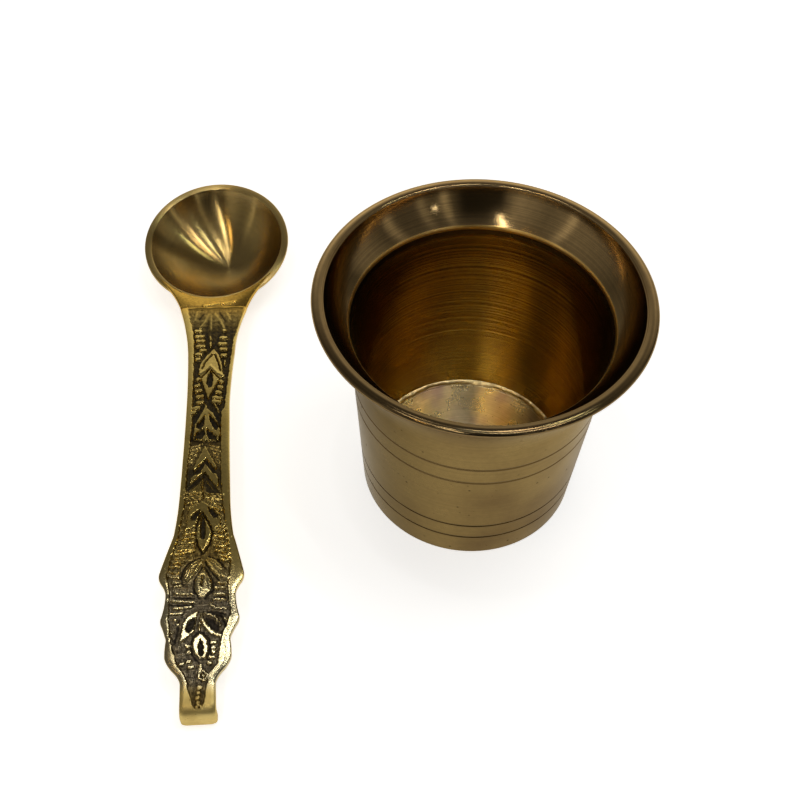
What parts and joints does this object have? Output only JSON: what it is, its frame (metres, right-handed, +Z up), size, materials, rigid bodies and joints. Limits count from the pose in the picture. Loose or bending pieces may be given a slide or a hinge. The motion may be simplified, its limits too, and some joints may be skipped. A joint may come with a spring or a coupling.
{
  "type": "panchpatra",
  "caption": "Turned brass ritual water cup with a tapered wall, flared dished rim and brazed base, with its cast spoon lying beside it.",
  "frame": {"origin": "centre of the cup's flat foot, on the table", "axes": "+Z up along the cup's axis, +Y away from the picture's viewer along the spoon, +X from the spoon to the cup"},
  "size_m": [0.1207, 0.148, 0.0595],
  "materials": {
    "cup_brass": "turned, satin, lightly aged",
    "floor_brass": "turned with fine pits",
    "braze": "bright braze",
    "spoon_brass": "polished",
    "handle_brass": "cast relief, polished high spots and dark hollows"
  },
  "bodies": {
    "cup": {"cup_body": "cup_brass", "cup_base_disc": "floor_brass", "cup_braze_ring": "braze"},
    "spoon": {"spoon_bowl": "spoon_brass", "spoon_handle": "handle_brass"}
  },
  "joints": [
    {"name": "spoon_lift", "type": "slide", "parent": "cup", "child": "spoon", "axis": [0, 0, 1], "range_m": [0, 0.12]}
  ]
}
